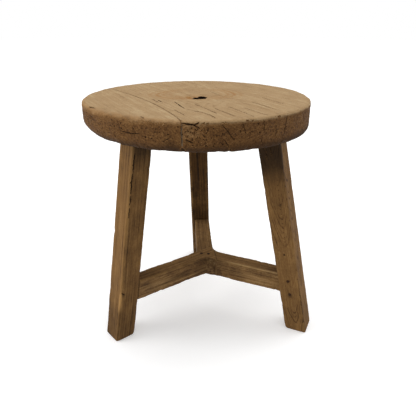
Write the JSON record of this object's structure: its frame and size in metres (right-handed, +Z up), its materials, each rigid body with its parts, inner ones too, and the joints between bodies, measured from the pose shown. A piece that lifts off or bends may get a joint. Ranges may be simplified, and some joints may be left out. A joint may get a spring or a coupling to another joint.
{
  "type": "milking stool",
  "caption": "Round wooden milking stool with a thick two-board seat on three splayed square legs tied by a Y-shaped stretcher.",
  "frame": {"origin": "on the floor, at the centre of the stool's outline in plan", "axes": "+Z up through the seat; +Y towards the back leg; +X towards the right leg's side, so the left and right legs stand in front"},
  "size_m": [0.3445, 0.3472, 0.358],
  "materials": {
    "seat_wood": "bare, worn smooth on top, weathered end grain",
    "seat_side_wood": "bare, worn smooth on top, rough rim",
    "leg_wood": "old brown patina, dull",
    "stretcher_wood": "old brown patina with dark streaks, dull",
    "peg_wood": "dark end grain",
    "hidden_wood": "bare, unseen"
  },
  "bodies": {
    "root": {"seat_main_board": "seat_wood", "seat_side_board": "seat_side_wood", "seat_dowel_front": "hidden_wood", "seat_dowel_middle": "hidden_wood", "seat_dowel_back": "hidden_wood", "leg_left": "leg_wood", "leg_right": "leg_wood", "leg_back": "leg_wood", "leg_wedge_left": "hidden_wood", "leg_wedge_right": "hidden_wood", "leg_wedge_back": "hidden_wood", "stretcher_left_arm": "stretcher_wood", "stretcher_right_arm": "stretcher_wood", "stretcher_back_arm": "stretcher_wood", "leg_peg_left_lower": "peg_wood", "leg_peg_left_upper": "peg_wood", "leg_peg_right_lower": "peg_wood", "leg_peg_right_upper": "peg_wood", "leg_peg_back_lower": "peg_wood", "leg_peg_back_upper": "peg_wood", "hub_peg_left": "peg_wood", "hub_peg_right": "peg_wood"}
  },
  "joints": []
}
